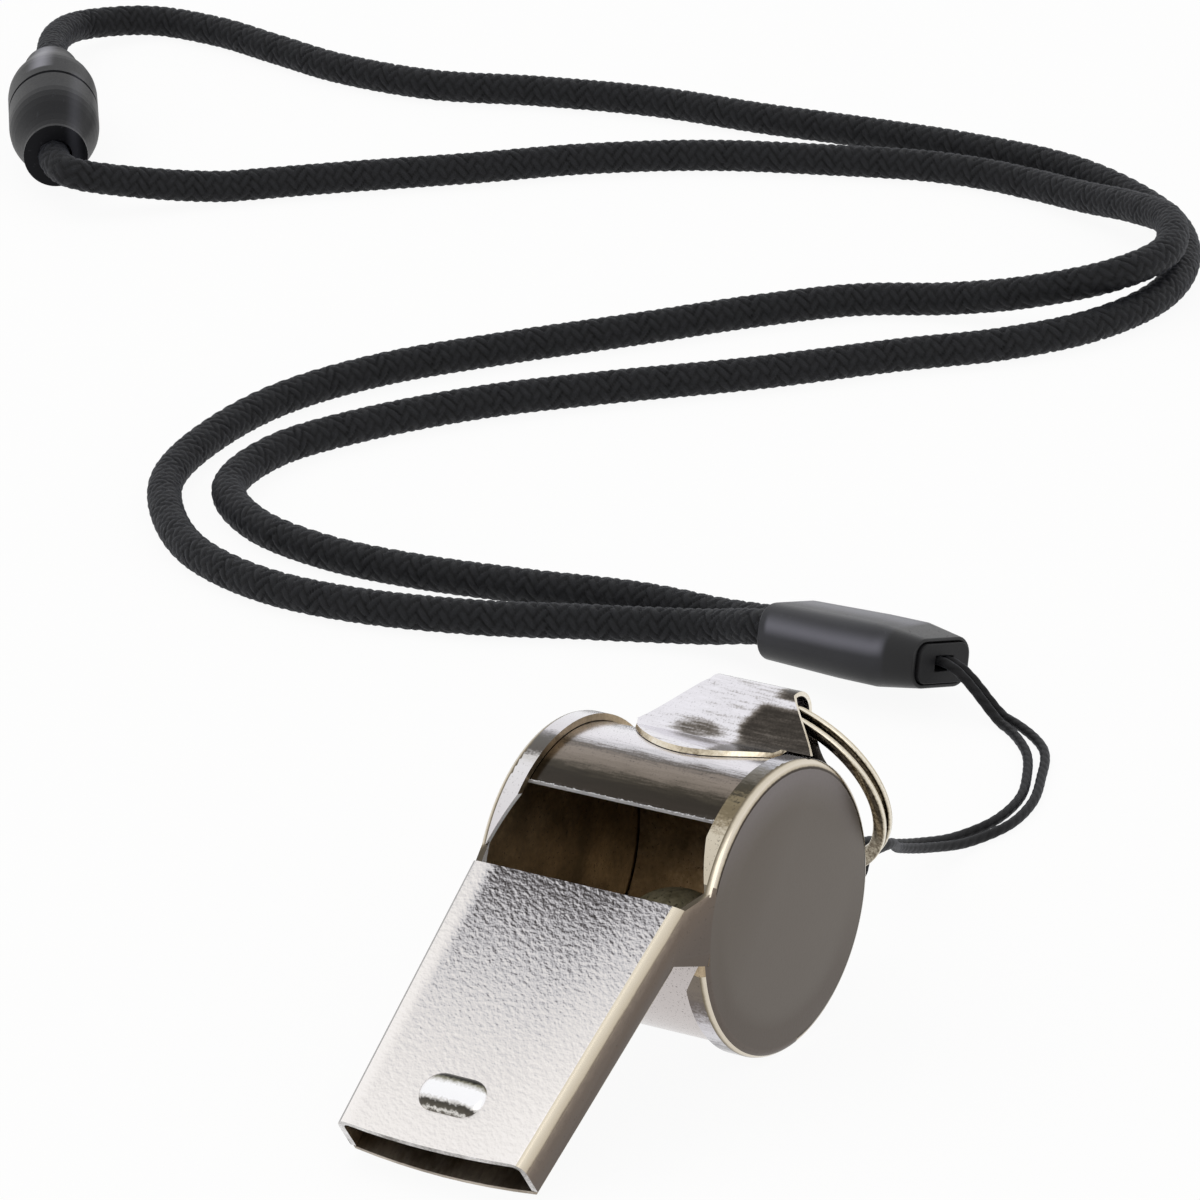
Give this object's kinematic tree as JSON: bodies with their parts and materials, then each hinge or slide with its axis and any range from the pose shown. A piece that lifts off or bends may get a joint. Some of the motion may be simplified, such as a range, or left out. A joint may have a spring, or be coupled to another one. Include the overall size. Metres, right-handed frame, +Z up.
{
  "type": "sports whistle",
  "caption": "Pea whistle of plated sheet metal with a split ring, on a strap, cord clamp and braided neck cord with a pull-apart clasp.",
  "frame": {"origin": "on the ground, under the middle of the whistle with its ring", "axes": "+X towards the mouth, Y along the barrel, +Z up; the whistle lies on its barrel and on the lower edge of its mouth"},
  "size_m": [0.2078, 0.1897, 0.024],
  "materials": {
    "satin_plate": "satin, blasted",
    "polished_plate": "polished with fine scratches",
    "floor_plate": "satin",
    "inner_plate": "satin",
    "saddle_plate": "polished",
    "ring_wire": "polished",
    "cork": "matt cork",
    "strap_nylon": "smooth nylon",
    "clamp_plastic": "satin",
    "insert_plastic": "satin",
    "braid": "braided polyester",
    "clasp_plastic": "satin"
  },
  "bodies": {
    "whistle": {"body_shell": "satin_plate", "barrel_strip": "polished_plate", "mouthpiece_floor": "floor_plate", "windway_ramp": "inner_plate", "ring_saddle": "saddle_plate", "strap_loop": "strap_nylon", "clamp_shell": "clamp_plastic", "clamp_insert": "insert_plastic", "cord_outer": "braid", "cord_inner": "braid", "clasp_socket": "clasp_plastic"},
    "pea": {"pea": "cork"},
    "ring": {"split_ring": "ring_wire"},
    "clasp_plug": {"clasp_plug": "clasp_plastic"}
  },
  "joints": [
    {"name": "pea_roll", "type": "hinge", "parent": "whistle", "child": "pea", "pos_m": [-0.0086, -0.0007, 0.011], "axis": [0, 1, 0], "continuous": true},
    {"name": "ring_swing", "type": "hinge", "parent": "whistle", "child": "ring", "pos_m": [-0.017, 0.0022, 0.02214], "axis": [0, 1, 0], "range_deg": [0, 145], "deforming": ["strap_loop"]},
    {"name": "clasp_release", "type": "slide", "parent": "whistle", "child": "clasp_plug", "axis": [-0.788, -0.6157, 0], "range_m": [0, 0.01], "deforming": ["cord_outer"]}
  ]
}
